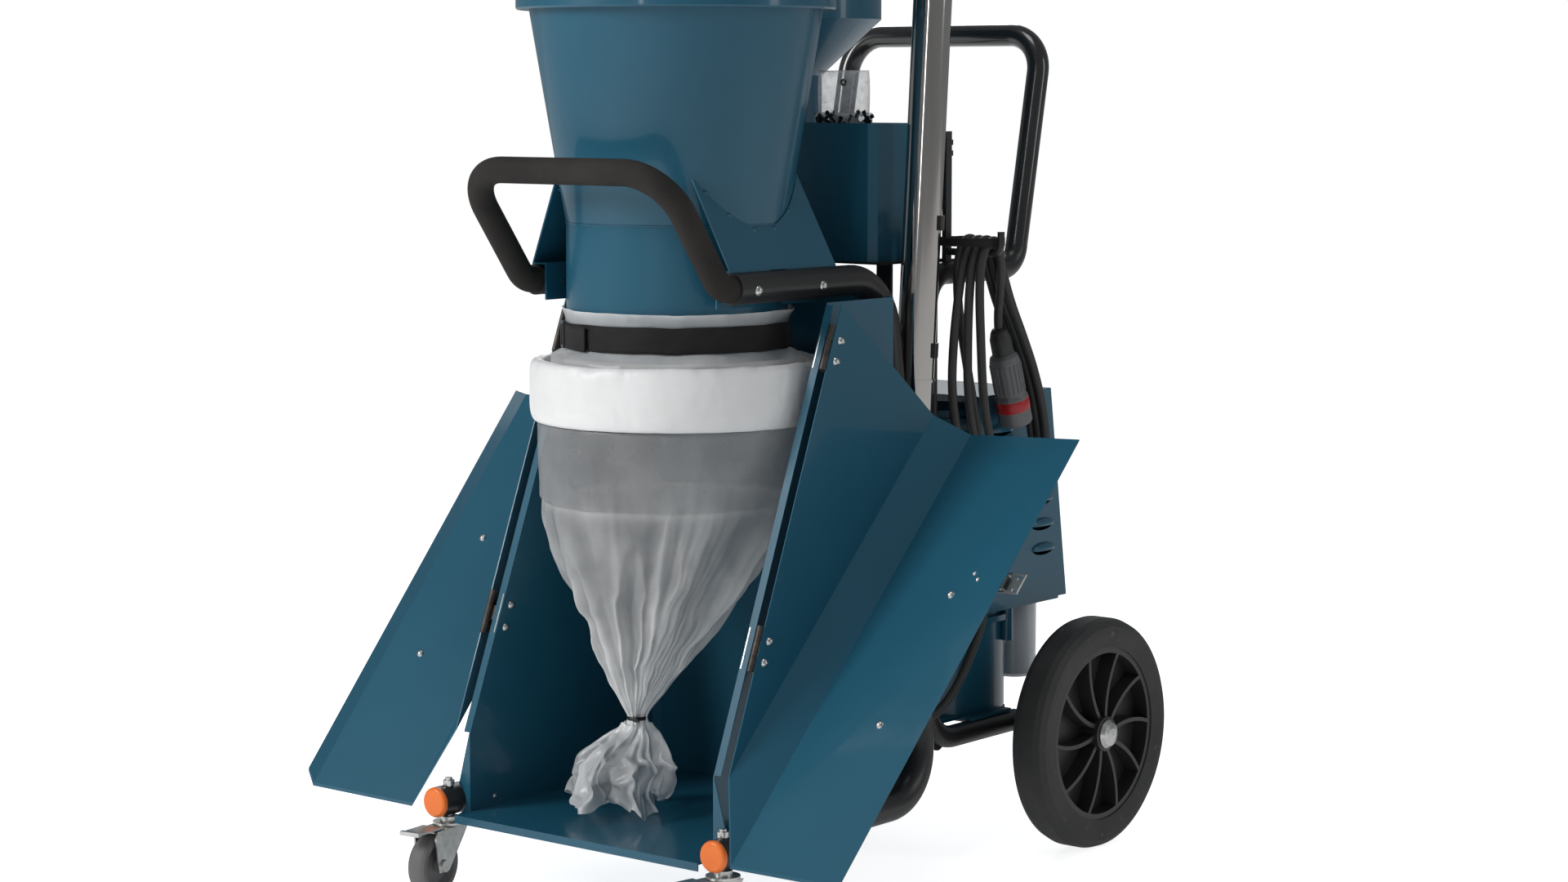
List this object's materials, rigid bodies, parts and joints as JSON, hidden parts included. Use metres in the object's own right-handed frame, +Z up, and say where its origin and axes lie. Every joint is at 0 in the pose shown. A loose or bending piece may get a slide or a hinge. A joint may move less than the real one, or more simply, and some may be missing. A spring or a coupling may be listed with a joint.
{
  "type": "dust collector",
  "caption": "Wheeled cyclone dust extractor on a tube frame, with a bag housing behind two folding doors, a rear filter vessel, a blower and a hung power cable.",
  "frame": {"origin": "on the floor under the centre of the machine's bounding box, doors open", "axes": "+Z up, -Y towards the front with the bag doors, +X towards the machine's left side"},
  "size_m": [1.2271, 1.2256, 1.758],
  "materials": {
    "powder_coat_blue": "gloss",
    "satin_black": "satin",
    "gloss_black": "gloss",
    "foam_grip": "matte",
    "orange_plastic": "satin",
    "chrome_pipe": "polished",
    "zinc_plate": "satin",
    "hinge_steel": "satin",
    "rubber_black": "satin",
    "tyre_rubber": "worn",
    "rim_plastic": "satin",
    "caster_rubber": "matte",
    "film": "translucent",
    "cassette_white": "satin",
    "webbing": "woven",
    "clear_pouch": "clear",
    "filter_paper": "pleated",
    "cast_aluminium": "cast",
    "grey_plastic": "satin",
    "silencer_grey": "satin"
  },
  "bodies": {
    "frame": {"side_frame_left": "satin_black", "side_frame_right": "satin_black", "cross_members": "satin_black", "tube_caps": "orange_plastic", "front_handle": "satin_black", "front_grip": "foam_grip", "rear_frame": "satin_black", "rear_handle": "gloss_black", "axle": "zinc_plate", "frame_bolts": "zinc_plate", "cyclone_cone": "powder_coat_blue", "cyclone_barrel": "powder_coat_blue", "cyclone_lid": "powder_coat_blue", "clamp_rings": "zinc_plate", "support_gussets": "powder_coat_blue", "filter_vessel": "powder_coat_blue", "filter_cartridge": "filter_paper", "filter_lid": "powder_coat_blue", "crossover_duct": "powder_coat_blue", "suction_pipe": "chrome_pipe", "pipe_brackets": "zinc_plate", "accessory_bin": "powder_coat_blue", "tie_pouch": "clear_pouch", "bag_housing": "powder_coat_blue", "housing_floor": "powder_coat_blue", "hinge_fixed_leaves": "hinge_steel", "bag_cassette": "cassette_white", "bag_film": "film", "bag_strap": "webbing", "bag_tie": "rubber_black", "blower_housing": "powder_coat_blue", "motor": "cast_aluminium", "motor_cover": "powder_coat_blue", "base_plate": "powder_coat_blue", "silencer": "silencer_grey", "cable_hook": "satin_black", "cable_strap": "webbing", "terminal_box": "satin_black", "cable_gland": "rubber_black", "cable_lead": "rubber_black", "cable_hank": "rubber_black", "cable_plug": "grey_plastic"},
    "door_left": {"door_left": "powder_coat_blue", "door_left_hardware": "zinc_plate"},
    "latch_lever": {"latch_lever": "zinc_plate"},
    "latch_hook": {"latch_hook": "zinc_plate"},
    "door_right": {"door_right": "powder_coat_blue", "door_right_hardware": "zinc_plate"},
    "wheel_left": {"tyre_left": "tyre_rubber", "rim_left": "rim_plastic"},
    "wheel_right": {"tyre_right": "tyre_rubber", "rim_right": "rim_plastic"},
    "caster_left": {"caster_fork_left": "zinc_plate"},
    "caster_wheel_left": {"caster_wheel_left": "caster_rubber"},
    "caster_pedal_left": {"caster_pedal_left": "zinc_plate"},
    "caster_right": {"caster_fork_right": "zinc_plate"},
    "caster_wheel_right": {"caster_wheel_right": "caster_rubber"},
    "caster_pedal_right": {"caster_pedal_right": "zinc_plate"},
    "impeller": {"impeller": "cast_aluminium"},
    "main_switch": {"main_switch": "orange_plastic"}
  },
  "joints": [
    {"name": "door_left_hinge", "type": "hinge", "parent": "frame", "child": "door_left", "pos_m": [0.285, -0.492, 0.258], "axis": [0, 0.3658, 0.9307], "range_deg": [-173, 0]},
    {"name": "door_right_hinge", "type": "hinge", "parent": "frame", "child": "door_right", "pos_m": [-0.285, -0.492, 0.258], "axis": [0, 0.3658, 0.9307], "range_deg": [0, 173]},
    {"name": "latch_lever_pivot", "type": "hinge", "parent": "door_left", "child": "latch_lever", "pos_m": [0.56642, -0.17887, 0.55395], "axis": [0.0446, 0.6783, 0.7334], "range_deg": [-5, 95]},
    {"name": "latch_hook_pivot", "type": "hinge", "parent": "latch_lever", "child": "latch_hook", "pos_m": [0.58429, -0.18091, 0.55475], "axis": [0.0446, 0.6783, 0.7334], "range_deg": [-5, 30]},
    {"name": "wheel_left_spin", "type": "hinge", "parent": "frame", "child": "wheel_left", "pos_m": [0.356, 0.412, 0.2], "axis": [1, 0, 0], "continuous": true},
    {"name": "wheel_right_spin", "type": "hinge", "parent": "frame", "child": "wheel_right", "pos_m": [-0.356, 0.412, 0.2], "axis": [1, 0, 0], "continuous": true},
    {"name": "caster_left_swivel", "type": "hinge", "parent": "frame", "child": "caster_left", "pos_m": [0.293, -0.504, 0.11], "axis": [0, 0, 1], "continuous": true},
    {"name": "caster_left_spin", "type": "hinge", "parent": "caster_left", "child": "caster_wheel_left", "pos_m": [0.28674, -0.54856, 0.05], "axis": [0.9903, -0.1392, 0], "continuous": true},
    {"name": "caster_left_brake", "type": "hinge", "parent": "caster_left", "child": "caster_pedal_left", "pos_m": [0.28576, -0.55549, 0.104], "axis": [0.9903, -0.1392, 0], "range_deg": [0, 12]},
    {"name": "caster_right_swivel", "type": "hinge", "parent": "frame", "child": "caster_right", "pos_m": [-0.293, -0.504, 0.11], "axis": [0, 0, 1], "continuous": true},
    {"name": "caster_right_spin", "type": "hinge", "parent": "caster_right", "child": "caster_wheel_right", "pos_m": [-0.28674, -0.54856, 0.05], "axis": [0.9903, 0.1392, 0], "continuous": true},
    {"name": "caster_right_brake", "type": "hinge", "parent": "caster_right", "child": "caster_pedal_right", "pos_m": [-0.28576, -0.55549, 0.104], "axis": [0.9903, 0.1392, 0], "range_deg": [0, 12]},
    {"name": "impeller_spin", "type": "hinge", "parent": "frame", "child": "impeller", "pos_m": [0.075, 0.33, 0.3], "axis": [0, 0, 1], "continuous": true},
    {"name": "main_switch_turn", "type": "hinge", "parent": "frame", "child": "main_switch", "pos_m": [0.09, 0.49369, 0.61], "axis": [0, 0.9896, 0.1437], "range_deg": [0, 90]}
  ]
}
